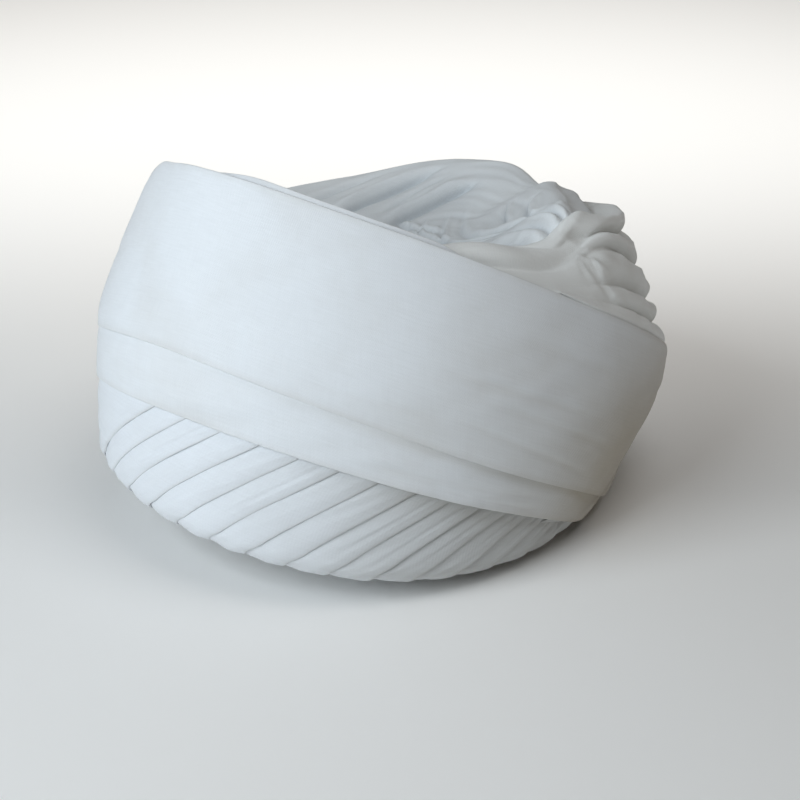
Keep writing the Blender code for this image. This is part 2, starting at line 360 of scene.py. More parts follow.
# %% [markdown]
# ## From a grid of points to closed cloth
# Cloth could be a plane with a Solidify modifier, but its edges would be square. Here a
# grid of points gives the outer face, and a second grid lies one thickness further in. The
# half thickness falls to zero at the borders as a half circle does, so both grids meet
# there and each folded edge comes out round.

# %% Grid to mesh


def edge_steps(radius, count=4):
    """Distance from the edge and half thickness there, round a half circle's quarter."""
    angle = np.arange(count) * np.pi / 2 / count
    return radius * (1 - np.cos(angle)), radius * np.sin(angle)


def lane(low, high, count, radius):
    """Positions from low to high with extra steps at both ends, and half thickness there."""
    off, half = edge_steps(radius)
    span = (high - low - 2 * radius)[..., None]
    middle = low[..., None] + radius + span * np.linspace(0, 1, count)
    places = np.concatenate([low[..., None] + off, middle, high[..., None] - off[::-1]], -1)
    halves = np.concatenate([half, np.full(count, radius), half[::-1]])
    return places, halves


def slopes(grid, closed):
    """Unit normals of a grid of points: the cross product of its two neighbour steps."""
    if closed:
        along = np.roll(grid, -1, 0) - np.roll(grid, 1, 0)
    else:
        along = np.gradient(grid, axis=0)
    normal = np.cross(along, np.gradient(grid, axis=1))
    size = np.linalg.norm(normal, axis=-1, keepdims=True)
    return np.where(size > 1e-12, normal / np.maximum(size, 1e-12), [0.0, 0.0, 1.0])


def along(points, place):
    """Points between the rows of a grid, at fractional row numbers, by a Catmull-Rom curve."""
    first = 2 * points[:, :1] - points[:, 1:2]
    last = 2 * points[:, -1:] - points[:, -2:-1]
    padded = np.concatenate([first, points, last], 1)
    whole = np.clip(np.floor(place).astype(int), 0, points.shape[1] - 2)
    t = (place - whole)[..., None]
    column = np.arange(len(points))[:, None]
    a, b, c, d = (padded[column, whole + k] for k in range(4))
    return 0.5 * (2 * b + (c - a) * t + (2 * a - 5 * b + 4 * c - d) * t ** 2
                  + (3 * b - a - 3 * c + d) * t ** 3)


def smooth_rows(points, count):
    """The same curve at even steps, count of them between two rows."""
    steps = np.arange((points.shape[1] - 1) * count + 1) / count
    return along(points, np.tile(steps, (len(points), 1)))


def add_mesh(name, verts, quads, corners, wear_and_shade):
    """A mesh from arrays: points, faces as rows of four point numbers, a UV for each corner."""
    mesh = bpy.data.meshes.new(name)
    mesh.vertices.add(len(verts))
    mesh.vertices.foreach_set("co", verts.astype(np.float32).ravel())
    mesh.loops.add(quads.size)
    mesh.loops.foreach_set("vertex_index", quads.astype(np.int32).ravel())
    mesh.polygons.add(len(quads))
    mesh.polygons.foreach_set("loop_start", np.arange(0, quads.size, 4, dtype=np.int32))
    mesh.polygons.foreach_set("use_smooth", np.ones(len(quads), dtype=bool))
    mesh.update(calc_edges=True)
    mesh.uv_layers.new(name="cloth")
    mesh.uv_layers["cloth"].data.foreach_set("uv", corners.astype(np.float32).ravel())
    mesh.attributes.new("wear_and_shade", "FLOAT", "POINT").data.foreach_set("value", wear_and_shade.ravel())
    work = bmesh.new()
    work.from_mesh(mesh)
    bmesh.ops.remove_doubles(work, verts=work.verts, dist=1e-7)
    if work.calc_volume(signed=True) < 0:
        bmesh.ops.reverse_faces(work, faces=work.faces)
    work.to_mesh(mesh)
    work.free()
    mesh.validate()
    return mesh


def grid_faces(columns, rows, closed):
    """Point numbers of every quad of a grid, and the grid place of every corner. In a closed
    grid the last column joins the first."""
    last_column = columns if closed else columns - 1
    k, i = np.meshgrid(np.arange(last_column), np.arange(rows - 1), indexing="ij")
    k, i = k.ravel(), i.ravel()
    places = np.stack([np.stack([k, i], -1), np.stack([k + 1, i], -1),
                       np.stack([k + 1, i + 1], -1), np.stack([k, i + 1], -1)], 1)
    numbers = (places[..., 0] % columns) * rows + places[..., 1]
    return numbers, places


def finish_piece(name, mesh, slot_name, nodes):
    """Link the piece, give it its cotton, and let it stand for its CAD nodes."""
    piece = bpy.data.objects.new(name, mesh)
    bpy.context.scene.collection.objects.link(piece)
    mesh.materials.append(COTTONS[slot_name])
    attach(piece, "root")
    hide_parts(*nodes)
    return piece


def sheet_piece(name, face, half, radius, wear_and_shade, size, closed, slot_name, nodes):
    """Closed cloth from its outer face. Both skins lie half thickness from the middle. The
    size is that of the cloth in metres, for its UV map."""
    normal = slopes(face, closed)
    middle = face - normal * radius
    outer = middle + normal * half[..., None]
    inner = middle - normal * half[..., None]
    columns, rows = face.shape[:2]
    numbers, places = grid_faces(columns, rows, closed)
    stretch = np.array(size) / [columns if closed else columns - 1, rows - 1]
    corners = places * stretch
    quads = np.concatenate([numbers, numbers[:, ::-1] + columns * rows])
    uvs = np.concatenate([corners, corners[:, ::-1]])
    verts = np.concatenate([outer.reshape(-1, 3), inner.reshape(-1, 3)])
    mesh = add_mesh(name, verts, quads, uvs, np.concatenate([wear_and_shade.ravel(), wear_and_shade.ravel()]))
    return finish_piece(name, mesh, slot_name, nodes)


def declare(piece, flat):
    """Return the area of one side of a sheet, in square metres. The rectangle it was cut from
    is multiplied out, but nothing uses the product.
    """
    areas = np.empty(len(piece.data.polygons))
    piece.data.polygons.foreach_get("area", areas)
    area, cut = float(areas.sum() / 2), flat[0] * flat[1]
    return round(area, 4)


print("the edge of the broad wrap's cloth steps in by", edge_steps(CLOTH / 2)[0].round(5))

# %% [markdown]
# ## Creases and ripples
# Cotton keeps two kinds of marks: single creases where it was pulled or folded, and a
# faint field of ripples along the direction of winding. A cloth simulation would give
# others than this turban has, so the creases are placed one by one, each as a soft groove
# between two points, and the ripples are a sum of smooth waves with a fixed seed.

# %% Marks in the cloth


def grooves(a, b, table, sharp=0.0):
    """Sum of grooves in a plane with coordinates a, b. Each runs from one point to another,
    bows sideways as a parabola, fades at both ends, and has a small ridge at its side. The
    valley is a bell, or with sharp 1 a tent with curved sides."""
    total = np.zeros(np.broadcast(a, b).shape)
    for a0, b0, a1, b1, bow, width, depth in table:
        length = np.hypot(a1 - a0, b1 - b0)
        da, db = (a1 - a0) / length, (b1 - b0) / length
        t = ((a - a0) * da + (b - b0) * db) / length
        side = (b - b0) * da - (a - a0) * db - 4 * bow * t * (1 - t)
        fade = blend(t / 0.3) * blend((1 - t) / 0.3)
        cut = (1 - sharp) * hill(side, width) + sharp * np.exp(-np.abs(side / width) ** 1.1)
        total += depth * fade * (0.55 * hill(side - 1.9 * width, 1.3 * width) - cut)
    return total


def ripples(phi, height, size, seed, count=26):
    """Mean of waves sin(n phi + k height + phase) with whole n, so that it closes round the
    head. Heights change fast and angles slowly, so the ripples lie along the winding."""
    chance = np.random.default_rng(seed)
    total = 0.0
    for _ in range(count):
        turns = chance.integers(-9, 10)
        pace = 2 * np.pi / (size * chance.uniform(0.7, 3.0))
        total = total + np.sin(turns * phi + pace * height + chance.uniform(0, 2 * np.pi))
    return total / np.sqrt(count)


sample = ripples(np.linspace(0, 6, 50)[:, None], np.linspace(0, 0.1, 50)[None], 0.02, 1)
print("ripple height, root mean square:", float(sample.std().round(2)))

# %% [markdown]
# ## Broad wrap
# The widest band goes once round the head, high over the brow and low at the nape. Its
# lower edge is a fold, so it is round and lies close on the layer below. It is wound tight,
# and only a few long creases follow the lower edge. A band between two edge lines on the
# wall is the plain way to make it.

# %% Broad wrap
TURN_COLUMNS = 420
FULL = np.arange(TURN_COLUMNS) * 2 * np.pi / TURN_COLUMNS - np.pi


def painted_shade_side(phi, height):
    """Painted shade on the side away from the window, low at the left side: darker and browner
    there. Smooth steps in angle, up from 58 and down from 125 degrees, times one in height."""
    turn = np.mod(phi + np.pi, 2 * np.pi) / DEG - 180
    side = blend((turn - 58) / 52) * (1 - blend((turn - 125) / 40))
    return 0.95 * side * blend((0.125 - height) / 0.080)


def band_face(phi, low, high, rows, depth, marks):
    """Outer face of a band between two edges: its points, half thickness, wear_and_shade and
    heights.
    Near both edges it is pressed in, by a bell of the distance to the edge, and at the
    lower edge less toward the left ear."""
    height, half = lane(low, high, rows, CLOTH / 2)
    angle = phi[:, None] + 0 * height
    pressed = 1 - 0.8 * blend((angle / DEG - 45) / 35)
    sink = 0.0009 * pressed * hill(height - low[:, None], 0.006)
    sink = sink + 0.0006 * hill(high[:, None] - height, 0.006)
    relief = marks(angle, height)
    face = wall(angle, height, -depth - sink + relief)
    edge = hill(height - low[:, None], 0.0022) + hill(high[:, None] - height, 0.0022)
    # wear_and_shade: rubbed folded edges, painted shade in the creases, and painted shade on the
    # side away from the window.
    wear_and_shade = 0.03 + 0.15 * edge - 130 * np.minimum(relief, 0) + painted_shade_side(angle, height)
    wear_and_shade = np.clip(wear_and_shade, 0, 1)
    return face, half + 0 * height, wear_and_shade, height


BROAD_CREASES = (
    # from angle, height to angle, height in degrees and mm, bow, width, depth in mm
    (18, 119, 66, 86, 1.5, 1.6, 0.20),
    (58, 112, 96, 66, 3.0, 2.0, 0.60),
    (64, 99, 100, 46, 3.0, 1.8, 0.50),
    (60, 92, 92, 42, 2.0, 1.6, 0.50),
    (74, 118, 100, 84, 2.0, 3.0, 0.45),
    (-28, 128, 20, 128, 2.5, 2.2, 0.14),
    (-75, 100, -20, 146, -2.0, 2.6, 0.25),
    (100, 70, 150, 36, 2.0, 2.4, 0.40),
    (120, 66, 175, 30, -1.0, 2.2, 0.35),
    (-175, 34, -120, 52, 1.5, 2.4, 0.40),
    (-130, 62, -80, 92, 1.5, 2.6, 0.35),
)


def wall_grooves(phi, height, table):
    """Grooves on the wall, in millimetres along it: one degree is about 2.4 mm."""
    scaled = [(r[0] * 2.4, r[1], r[2] * 2.4, r[3], *r[4:]) for r in table]
    turn = (phi / DEG + 180) % 360 - 180
    return grooves(turn * 2.4, height * 1000, scaled) / 1000


def broad_marks(phi, height):
    """Creases along the lower edge, ripples that grow toward the left ear and behind, and a
    slightly rolled upper edge behind the ear."""
    loose = 0.35 + 0.65 * blend((np.mod(phi / DEG + 40, 360) - 85) / 50)
    slack = 0.00014 * loose * ripples(phi, height + 0.03 * np.cos(phi), 0.013, 4)
    swell = 0.00045 * ripples(phi, height, 0.05, 9, 12)
    below = broad_top(phi) - height
    rolled = 0.0009 * hill(below - 0.003, 0.0035) * hill(phi - 118 * DEG, 22 * DEG)
    return wall_grooves(phi, height, BROAD_CREASES) + slack + swell + rolled


face, half, wear_and_shade, _ = band_face(FULL, broad_low(FULL), broad_top(FULL), 76, 0.0, broad_marks)
broad = sheet_piece("broad_wrap_cloth", face, half, CLOTH / 2, wear_and_shade, (0.87, 0.075), True,
                    "wrap_cloth", ["broad_wrap"])
print("broad wrap, square metres:", declare(broad, (0.14, 0.88)))

# %% [markdown]
# ## Second wrap and the layer under the upper edge
# Below the broad wrap a second band shows as a strip about 25 mm high, two layers deep. A
# third peeps out as a thin line above the near upper edge. Both are bands as before, only
# one step deeper.

# %% Second wrap and under wrap
SECOND_CREASES = (
    (40, 79, 84, 38, 1.0, 1.8, 0.40),
    (52, 66, 84, 30, 1.0, 1.5, 0.30),
    (-40, 88, 10, 92, -1.0, 1.6, 0.15),
    (100, 20, 160, 6, 1.0, 2.0, 0.30),
)


def second_marks(phi, height):
    """Creases along the strip that shows, and ripples."""
    return wall_grooves(phi, height, SECOND_CREASES) + 0.00022 * ripples(phi, height, 0.012, 12)


SECOND_LAP = 0.018         # how far the second wrap reaches up under the broad one
low, high = second_low(FULL), broad_low(FULL) + SECOND_LAP
face, half, wear_and_shade, height = band_face(FULL, low, high, 34, STEP, second_marks)
# Painted shadow: the second wrap goes darker in a band just under the broad wrap's lower edge,
# more toward the left ear.
below = broad_low(FULL)[:, None] - 0.0012 - height
wear_and_shade = np.clip(wear_and_shade + 0.25 * hill(below, 0.003) * blend((FULL / DEG - 10) / 60)[:, None], 0, 1)
second = sheet_piece("second_wrap_cloth", face, half, CLOTH / 2, wear_and_shade, (0.86, 0.042), True,
                     "wrap_cloth", ["second_wrap"])
print("second wrap, square metres:", declare(second, (0.06, 0.88)))


def under_top(phi):
    """Edge of the layer that shows above the near part of the broad wrap's upper edge."""
    shown = 0.0044 * blend((phi / DEG + 12) / 30) * blend((74 - phi / DEG) / 14)
    return broad_top(phi) - 0.003 + shown


UNDER_START, UNDER_STOP = -66 * DEG, 73 * DEG
UNDER_DEPTH = 0.034        # how far it reaches down behind the broad wrap
UNDER_ROUND = 0.005        # its ends are round over this angle, radians
across, _ = lane(np.array(UNDER_START), np.array(UNDER_STOP), 160, UNDER_ROUND)
end = np.clip(np.minimum(across - across[0], across[-1] - across) / UNDER_ROUND, 0, 1)
round_end = np.sqrt(1 - (1 - end) ** 2)
face, half, wear_and_shade, _ = band_face(across, broad_top(across) - UNDER_DEPTH, under_top(across), 26,
                                STEP, second_marks)
under = sheet_piece("under_wrap_cloth", face, half * round_end[:, None], CLOTH / 2, wear_and_shade,
                    (0.30, 0.036), False, "wrap_cloth", ["under_wrap"])
print("under wrap, square metres:", declare(under, (0.045, 0.31)))

# %% [markdown]
# ## Pleats over the brow
# Before the bands go round, the cloth is laid in a fan of slanting pleats that turn under
# at the lower edge. Each pleat has one free folded edge, and its other side lies under the
# next one, which is what draws the thin shadow lines. One pleat is a grid between a foot
# and a tip angle that leans over as it rises, and a short loop makes the whole fan.

# %% Pleats
PLEATS = 15
PLEAT_CLOTH = 0.0008
PLEAT_DROP = 0.0014        # how much deeper it lies one pitch back from its free edge
PLEAT_WIDTH = 1.35         # width of a pleat in pitches, of which one pitch shows
PLEAT_ROUND = 0.034        # its free edge is round over this share of a pitch
PLEAT_TUCK = 0.0180        # how far it goes on below the rim, round under the lower edge
PLEAT_LAP = 0.014          # how far it goes up under the second wrap


def pleat_foot(line):
    """Angle where a pleat line meets the rim: one every 8.2 degrees."""
    return (-18 + 8.2 * line) * DEG


def pleat_tip(line):
    """Angle where it meets the second wrap: 8.6 degrees apart, closer toward the ear."""
    return (10 + 8.6 * line - 0.18 * line * line) * DEG


def slanting(foot, tip, least=-1.0):
    """Angles and heights of columns that lean from a foot angle to a tip angle as they
    rise: the lean grows as the 1.3th power of the height above the rim, as a share of the
    height that shows, which counts as no less than least."""
    height, half = lane(rim(foot) - PLEAT_TUCK, second_low(tip) + PLEAT_LAP, 64, PLEAT_CLOTH / 2)
    foot, tip = foot[:, None], tip[:, None]
    start = rim(foot) + 0.008
    reach = (height - start) / np.maximum(second_low(tip) - start, least)
    phi = foot + (tip - foot) * np.where(reach > 0, np.abs(reach) ** 1.3, 0.3 * reach)
    return phi, height, half, reach


def pleat_face(index):
    """Outer face, half thickness and wear_and_shade of one pleat, from its hidden side to its
    free edge.
    It is a little full in the middle, its free edge is pressed into the next pleat, and
    those toward the ear have a second, pinched line."""
    side, side_half = lane(np.array(-PLEAT_WIDTH), np.array(0.0), 22, PLEAT_ROUND)
    phi, height, half, reach = slanting(pleat_foot(index + side), pleat_tip(index + side))
    back = -side[:, None]
    low_edge = 0.00078 - 0.00062 * blend((index - 4) / 5)
    full = 0.00030 * np.sin(np.pi * np.clip(back, 0, 1)) - low_edge * hill(back, 0.25)
    lazy = 0.00016 * ripples(phi + 0.21 * index, height * 0.4 + 0.02 * back, 0.011, 40 + index)
    pinch = 0.00055 * hill(back - 0.42, 0.06) * blend(reach) * (index % 3 == 1 or index > 6)
    face = wall(phi, height, -2 * STEP - PLEAT_DROP * back + full + lazy - pinch)
    thick = side_half[:, None] / PLEAT_ROUND * half
    # Darker at the free edge, where it rubs, and a little darker just above the rim. Painted
    # shade under the second wrap's edge and toward the ear, on the side away from the window.
    wear_and_shade = 0.02 + 0.25 * hill(back, 0.09) + 0.12 * hill(reach, 0.25)
    wear_and_shade = wear_and_shade + (0.8 + 0.4 * hill(reach - 1, 0.15)) * blend((phi / DEG - 10) / 75)
    return face, thick, np.clip(wear_and_shade, 0, 1)


pleat_areas = []
for index in range(PLEATS):
    face, half, wear_and_shade = pleat_face(index)
    node = "pleat_%02d" % (index + 1)
    pleat = sheet_piece(node + "_cloth", face, half, PLEAT_CLOTH / 2, wear_and_shade, (0.027, 0.085),
                        False, "pleat_cloth", [node])
    pleat_areas.append(declare(pleat, (0.035, 0.13)))
print("pleats:", len(pleat_areas), "square metres in all:", round(sum(pleat_areas), 4))

# %% [markdown]
# On the right side of the head the same cloth is still flat: one smooth layer, whose free
# edge is the first slanting line. It is the same leaning grid, stretched from the right ear
# to that line, and it stays at one depth.

# %% Smooth first layer
FIRST_START = -94 * DEG
FIRST_ROUND = 0.0042       # its edges are round over this share of its length
side, side_half = lane(np.array(0.0), np.array(1.0), 110, FIRST_ROUND)
foot = FIRST_START + (pleat_foot(-1) - FIRST_START) * side
tip = FIRST_START + (pleat_tip(-1) - FIRST_START) * side
phi, height, half, reach = slanting(foot, tip, 0.016)
sunk = 0.4 * PLEAT_DROP * (1 - side[:, None]) ** 4
soft_marks = 0.00025 * ripples(phi, height, 0.014, 77) - 0.0008 * hill(1 - side[:, None], 0.03)
face = wall(phi, height, -2 * STEP - sunk + soft_marks)
wear_and_shade = np.clip(0.05 + 0.35 * hill(1 - side, 0.012)[:, None] + 0.25 * hill(reach, 0.25), 0, 1)
thick = side_half[:, None] / FIRST_ROUND * half
first = sheet_piece("first_layer_cloth", face, thick, PLEAT_CLOTH / 2, wear_and_shade, (0.155, 0.085),
                    False, "pleat_cloth", ["first_layer"])
print("first layer, square metres:", declare(first, (0.10, 0.19)))

# %% [markdown]
# ## Lines of the crown and of the rolls behind it
# The top is a shallow hollow with a rolled rim, and behind the left ear the rim dips. There
# the rolls of the back run together: two of them dive over the rim into the hollow, and the
# next one goes on as its near lip. Cushions set side by side would not join like this. The
# real cloth is one long sheet with creases in it, so here it is one smooth surface too,
# with a place number that runs from 0 at the broad wrap to 1 on the rim and 2 in the middle
# of the hollow. A crease is then a place that changes with the angle.

# %% Crown and roll lines
CROWN_CLOTH = 0.0024
DISH_FLOOR = 0.1215
RIM_ROWS = ((0.0078, -0.0030), (0.0040, -0.0005), (-0.0040, -0.0005))
DISH_ROWS = ((0.80, 0.74), (0.58, 0.36), (0.34, 0.10), (0.00, 0.00))
PROFILE_PLACES = (-0.20, 0.00, 0.12, 0.24, 0.36, 0.48, 0.60, 0.72, 0.84, 0.95,
                  0.975, 1.00, 1.06, 1.25, 1.50, 1.75, 2.00)
ROLL_CREASES = (
    # place at the dip, place behind, degrees between, depth in metres, share of it at the dip
    (0.00, 0.000, 30, 0.0004, 0.2),
    (0.20, 0.165, 30, 0.0030, 0.1),
    (0.46, 0.315, 34, 0.0036, 0.1),
    (0.88, 0.520, 38, 0.0050, 0.0),
    (0.98, 0.755, 38, 0.0060, 1.0),
    (1.05, 0.915, 40, 0.0050, 1.0),
)
DIP = 97                   # angle of the dip where the rolls meet, degrees


def crown_rim(phi):
    """Height of the rolled rim, with a hump and a dent behind and a dip at the left."""
    turn = np.mod(phi, 2 * np.pi)
    bumps = 0.0038 * hill(turn - 206 * DEG, 22 * DEG) - 0.0085 * hill(turn - 171 * DEG, 10 * DEG)
    dip = 0.0105 * hill(turn - 91 * DEG, 14 * DEG)
    return 0.1415 + 0.0145 * np.cos(phi - 92 * DEG) + bumps - dip


def drawn_in(phi):
    """Where the crown is gathered in, behind the left ear."""
    return 0.078 * np.exp(4.0 * (np.cos(phi - 143 * DEG) - 1))


def crown_share(phi):
    """How far out the rim lies, as a share of the full oval."""
    wide = 0.05 * np.exp(2.7 * (np.cos(phi + 60 * DEG) - 1))
    share = 0.715 + 0.02 * np.cos(phi - 60 * DEG) + wide - drawn_in(phi)
    limit = girth(phi, crown_rim(phi)) - 0.100
    return limit - soft(limit - share, 0.010)


def fold_span(phi):
    """Lower and upper limit of the stack of rolls."""
    top = crown_rim(phi) - 0.0075
    return np.minimum(broad_top(phi), top - 0.008), top


def fold_line(phi, z):
    """How far out the rolls bulge, as a share of the full oval."""
    low, top = fold_span(phi)
    edge = crown_share(phi) + 0.065 + 0.9 * drawn_in(phi)
    outer = girth(phi, np.maximum(low, 0.066)) - 0.0125
    sunk = np.clip((top - z) / (top - low), 0, 1)
    line = edge + (outer - edge) * sunk ** 0.75
    limit = girth(phi, z) - 0.0125
    return limit - soft(limit - line, 0.006)


def crown_surface(phi, place):
    """Points of the smooth surface at an angle for each column and a place for each row."""
    low, top = fold_span(phi)
    rows = []
    for start in PROFILE_PLACES[:10]:
        z = low + (top - low) * start / 0.95
        rows.append(ring(phi, fold_line(phi, z), 0, z))
    for out, up in RIM_ROWS:
        rows.append(ring(phi, crown_share(phi), out, crown_rim(phi) + up))
    for share, above in DISH_ROWS:
        z = DISH_FLOOR + (crown_rim(phi) - DISH_FLOOR) * above
        rows.append(ring(phi, crown_share(phi) * share, 0, z))
    number = np.interp(place, PROFILE_PLACES, np.arange(len(PROFILE_PLACES)))
    return along(np.stack(rows, 1), number)


def crease_place(phi, number):
    """Where a crease runs. Past the dip the upper ones go on inside the hollow, and behind
    the broad wrap they come back over the rim."""
    dip, behind, reach, _, _ = ROLL_CREASES[number]
    turn = np.mod(phi, 2 * np.pi) / DEG
    wander = 0.022 * np.sin(5 * phi + 2.1 * number) + 0.014 * np.sin(11 * phi + 1.3 * number)
    place = dip + (behind - dip) * blend((turn - DIP) / reach)
    loose = blend((turn - 135) / 25) * (1 - blend((turn - 300) / 15)) * (number > 0)
    place = place + wander * loose
    inside = 0.20 * blend((DIP - turn) / 22) * (number > 3)
    return (place + inside) * (1 - 0.26 * blend((68 - turn) / 20))


def crease_depth(phi, number):
    """How deep a crease is: it opens behind the dip and fades at the right."""
    _, _, _, depth, least = ROLL_CREASES[number]
    turn = np.mod(phi, 2 * np.pi) / DEG
    opened = least + (1 - least) * blend((turn - DIP + 2) / 22)
    lost = 1 - 0.6 * (1 - blend((turn - DIP + 10) / 10) * (1 - blend((turn - 235) / 50)))
    return depth * opened * lost


def rim_sink(phi):
    """How far the rim roll lies behind the roll below it, where the crown is gathered in."""
    turn = np.mod(phi, 2 * np.pi) / DEG
    return 0.0092 * blend((turn - 104) / 26) * blend((168 - turn) / 18)


def inward(phi):
    """Direction toward the hollow and down, for each column."""
    return np.stack([-0.85 * np.sin(phi), 0.85 * np.cos(phi), -0.53 + 0 * phi], -1)[:, None]


print("rim at the left ear and at the back:", crown_rim(np.array([91, 180]) * DEG).round(4))

# %% [markdown]
# ## Rolled folds behind
# From the left ear round the back the spare cloth lies in five soft rolls above the broad
# wrap. On the real turban they form when slack cloth is pushed down and overlaps itself.
# Each roll sinks toward the creases beside it as a cube does, which makes a round back and
# a sharp valley. Small pulls spread from the dip like the rays of a fan, and the last rows
# are tucked in under the rim.

# %% Rolled folds
ROLL_CLOTH = 0.0016
ROLL_START, ROLL_STOP, ROLL_COLUMN = 46, 320.1, 0.65        # degrees
DEGREE, PLACE = 0.0018, 0.034        # near the dip: metres to one degree and to one place


def fan(phi, place):
    """Pulls that spread from the dip: the size of two sines of the ray's angle, so the
    valleys between the rays are sharp, and gone after a few cm."""
    turn = np.mod(phi, 2 * np.pi) / DEG
    a, b = (turn - DIP) * DEGREE, (place - 1.0) * PLACE
    ray, away = np.arctan2(b, a), np.hypot(a, b)
    waves = 0.6 * np.abs(np.sin(6.5 * ray + 90 * away)) + 0.4 * np.abs(np.sin(11 * ray + 1.0))
    strength = blend((turn - DIP + 4) / 12) * blend(away / 0.010) * np.exp(-away / 0.020)
    return 0.0034 * (waves - 0.75) * strength


def crumple(phi, level, seed):
    """Fine sharp wrinkles that lie nearly along the winding: folded waves instead of smooth."""
    return 0.25 - np.abs(ripples(phi, level, 0.016, seed, 9)) ** 0.7


def roll_rows(phi, steps):
    """Place, height above the smooth surface and move inward of every row, from under the
    broad wrap to the tuck below the rim."""
    lines = [crease_place(phi, k) for k in range(6)]
    depths = [crease_depth(phi, k) for k in range(6)]
    low, top = fold_span(phi)
    places, relief, moved = [lines[0] - 0.16], [-0.0004 + 0 * phi], [0 * phi]
    for k in range(5):
        width = lines[k + 1] - lines[k]
        room = np.clip(width * (top - low) / 0.010, 0.2, 1)
        for q in np.arange(steps) / steps:
            fall = depths[k] * np.clip(1 - 1.8 * q, 0, 1) ** 3
            rise = depths[k + 1] * np.clip(1.8 * q - 0.8, 0, 1) ** 3
            swell = 0.0010 * np.sin(np.pi * q)
            places.append(lines[k] + width * q)
            relief.append(room * (swell * (depths[k] > 0.001) - fall - rise))
            moved.append((k == 4) * rim_sink(phi) * np.clip(2.2 * q - 1.2, 0, 1) ** 2.5)
    for number in range(1, 8):
        places.append(lines[5] + 0.006 * number)
        relief.append(-depths[5] - 0.0007 * number)
        moved.append(rim_sink(phi))
    return np.stack(places, 1), np.stack(relief, 1), np.stack(moved, 1)


phi = np.arange(ROLL_START, ROLL_STOP, ROLL_COLUMN) * DEG
place, relief, moved = roll_rows(phi, 18)
face = crown_surface(phi, place)
turn, level = phi[:, None], face[..., 2]
opened = blend((turn / DEG - 92) / 24) * (1 - 0.5 * blend((turn / DEG - 235) / 50))
marks = fan(turn, place) + opened * (0.00050 * ripples(3 * turn, level, 0.013, 61)
                                     + 0.00070 * crumple(2 * turn, level, 62))
snug = (0.0007 + 0.0009 * hill(turn / DEG - 94, 26)) * blend((turn / DEG - 66) / 28)
marks = marks + snug * hill(place, 0.10)
face = face + slopes(face, False) * (relief + marks)[..., None] + moved[..., None] * inward(phi)


def tapered(count):
    """1 in the middle of a row of points and 0 at both ends, round over three points."""
    near = np.minimum(np.arange(count), np.arange(count)[::-1])
    return np.sqrt(1 - (1 - np.clip(near / 3, 0, 1)) ** 2)


half = ROLL_CLOTH / 2 * tapered(len(phi))[:, None] * tapered(face.shape[1])
# Painted shade: darker in the creases between the rolls and in the valleys of the pulls and
# wrinkles.
wear_and_shade = np.clip(0.10 - 60 * np.minimum(relief, 0) - 200 * np.minimum(marks, 0), 0, 1)
rolls = sheet_piece("back_folds_cloth", face, half, ROLL_CLOTH / 2, wear_and_shade, (0.50, 0.11), False,
                    "fold_cloth", ["back_fold_%d" % k for k in range(1, 6)])
print("rolls, square metres:", declare(rolls, (0.12, 0.52)))

# %% [markdown]
# ## Crown
# The crown cloth starts under the last roll, goes over the rim and lines the hollow. It is
# crumpled: long diagonal folds come from the far rim, fine creases circle the hollow, and a
# fan of pulls meets at the dip. The folds are placed one by one in plan, in millimetres, and
# a field of sharp little wrinkles fills the space between.

# %% Crown folds
CROWN_FOLDS = (
    # from x, y to x, y, bow, width, depth in mm
    (-52, 10, -38, 86, 5, 3.0, 4.0),
    (-36, 34, -30, 78, 3, 1.3, 0.8),
    (-24, 20, -10, 84, 4, 2.8, 4.2),
    (-70, 0, -66, 66, 4, 3.0, 1.4),
    (-18, 40, 48, 30, -26, 1.3, 1.8),
    (-14, 46, 56, 34, -27, 1.6, 2.2),
    (-10, 34, 44, 20, -19, 1.2, 2.0),
    (-8, 56, 64, 42, -26, 1.4, 1.8),
    (0, 30, 38, 18, -13, 1.0, 1.6),
    (-4, 64, 74, 46, -24, 2.2, 1.4),
    (-14, 26, 22, 28, -5, 2.2, 3.2),
    (-24, 32, 6, 38, -6, 1.6, 2.4),
    (-30, 22, 10, 22, -6, 1.8, 2.0),
    (22, 76, 48, 38, -5, 1.6, 1.5),
    (42, 74, 66, 34, -5, 1.8, 1.7),
    (102, 14, 72, 46, -5, 1.8, 2.6),
    (103, 17, 84, 52, -3, 1.5, 2.4),
    (100, 12, 58, 36, -7, 1.6, 2.2),
    (100, 8, 48, 20, -7, 2.0, 2.0),
    (94, 2, 42, 4, -6, 2.4, 1.8),
    (64, 72, 70, 44, 3, 1.6, 2.0),
    (-34, -14, 2, 14, 5, 3.2, 1.4),
    (-36, -54, -4, -6, 5, 4.0, 1.3),
    (12, -66, 8, -8, -4, 4.0, 1.2),
    (56, -44, 20, 2, -4, 3.6, 1.2),
    (-64, -26, -20, 4, 4, 3.4, 1.2),
)


def crown_marks(points, place):
    """Folds in plan, gathers that run to the middle, and sharp little wrinkles round it."""
    x, y = points[..., 0] * 1000, points[..., 1] * 1000
    folds = 1.5 * grooves(x, y, CROWN_FOLDS, 1.0) / 1000
    phi = np.arctan2(x, -y)
    inner = np.clip(place - 1, 0, 1)
    fans = np.sin(7 * phi + 2.0 * np.sin(phi)) + 0.6 * np.sin(11 * phi + 1.0)
    gather = 0.0003 * fans * np.sin(np.pi * inner) ** 0.8
    swirl = np.hypot(x - 14, y - 26) / 1000
    fine = 0.00030 * crumple(phi + 0.5 * inner, swirl, 21)
    fine = fine + 0.00022 * ripples(phi, swirl, 0.008, 22)
    marks = (folds + gather) * blend((place - 1.0) / 0.08) + fine * blend((place - 0.97) / 0.1)
    return marks * blend((2 - place) / 0.08)


print("folds placed in the crown:", len(CROWN_FOLDS))

# %% [markdown]
# The crown's rows start below the last crease, so that its edge is hidden under the last
# roll. They lie closer on the rim than in the middle, where the cloth is flatter, and the
# rim is moved in behind the left ear, where the photograph shows it gathered.

